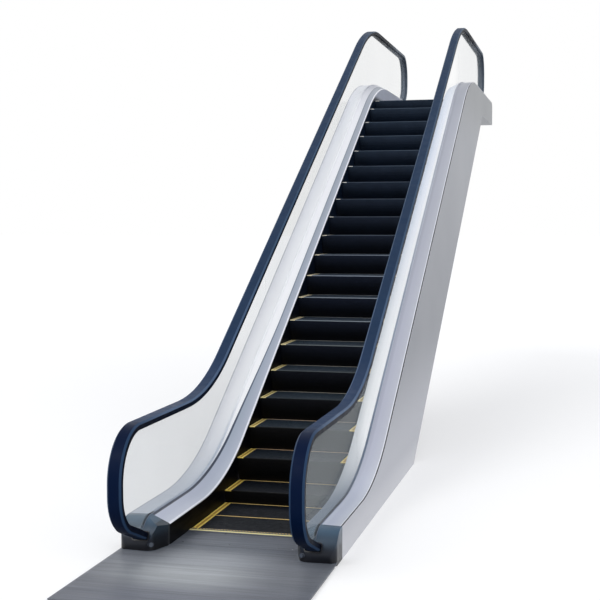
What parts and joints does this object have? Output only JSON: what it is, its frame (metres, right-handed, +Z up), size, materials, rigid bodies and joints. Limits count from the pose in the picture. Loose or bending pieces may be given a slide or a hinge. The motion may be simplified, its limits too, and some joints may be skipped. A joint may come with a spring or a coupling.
{
  "type": "escalator",
  "caption": "Straight indoor escalator with clear glass balustrades, closed handrail loops, level runs at both landings and metal outer cladding.",
  "frame": {"origin": "on the ground under the middle of the lower comb line", "axes": "+X across the steps to the right as seen going up, +Y level along the travel towards the upper floor, +Z up"},
  "size_m": [1.524, 12.92, 4.88],
  "materials": {
    "handrail": "smooth dark navy",
    "handrail_guide": "dark profile under the handrail",
    "balustrade_glass": "clear with a faint grey tint",
    "glass_gasket": "dark gasket strip",
    "deck_metal": "satin silver",
    "skirt_metal": "glossy grey-blue",
    "newel_cap": "moulded slate blue",
    "inlet_collar": "black collar",
    "stop_button": "small round button",
    "step_metal": "ribbed dark tread",
    "step_edge_paint": "yellow edge strips",
    "comb": "yellow comb segments",
    "landing_plate": "ribbed grey metal",
    "cladding": "satin silver grey",
    "frame_steel": "grey structural steel",
    "chain_steel": "oiled steel"
  },
  "bodies": {
    "root": {"handrail_left": "handrail", "handrail_right": "handrail", "handrail_guide_left": "handrail_guide", "handrail_guide_right": "handrail_guide", "incline_glass_left": "balustrade_glass", "incline_glass_right": "balustrade_glass", "lower_newel_glass_left": "balustrade_glass", "lower_newel_glass_right": "balustrade_glass", "upper_newel_glass_left": "balustrade_glass", "upper_newel_glass_right": "balustrade_glass", "glass_clamp_left": "glass_gasket", "glass_clamp_right": "glass_gasket", "inner_deck_left": "deck_metal", "inner_deck_right": "deck_metal", "outer_deck_left": "deck_metal", "outer_deck_right": "deck_metal", "skirt_left": "skirt_metal", "skirt_right": "skirt_metal", "lower_newel_cap_left": "newel_cap", "lower_newel_cap_right": "newel_cap", "upper_newel_cap_left": "newel_cap", "upper_newel_cap_right": "newel_cap", "lower_handrail_inlets": "inlet_collar", "upper_handrail_inlets": "inlet_collar", "stop_buttons": "stop_button", "steps_lower": "step_metal", "steps_incline": "step_metal", "steps_upper": "step_metal", "step_edges": "step_edge_paint", "lower_comb": "comb", "upper_comb": "comb", "lower_floor_plate": "landing_plate", "upper_floor_plate": "landing_plate", "lower_comb_plate": "landing_plate", "upper_comb_plate": "landing_plate", "side_panel_left": "cladding", "side_panel_right": "cladding", "underside_panel": "cladding", "end_panel": "cladding", "base_frame": "frame_steel", "upper_floor_frame": "frame_steel", "truss_frames": "frame_steel", "support_angle": "frame_steel", "step_tracks": "frame_steel", "step_chains": "chain_steel"}
  },
  "joints": []
}
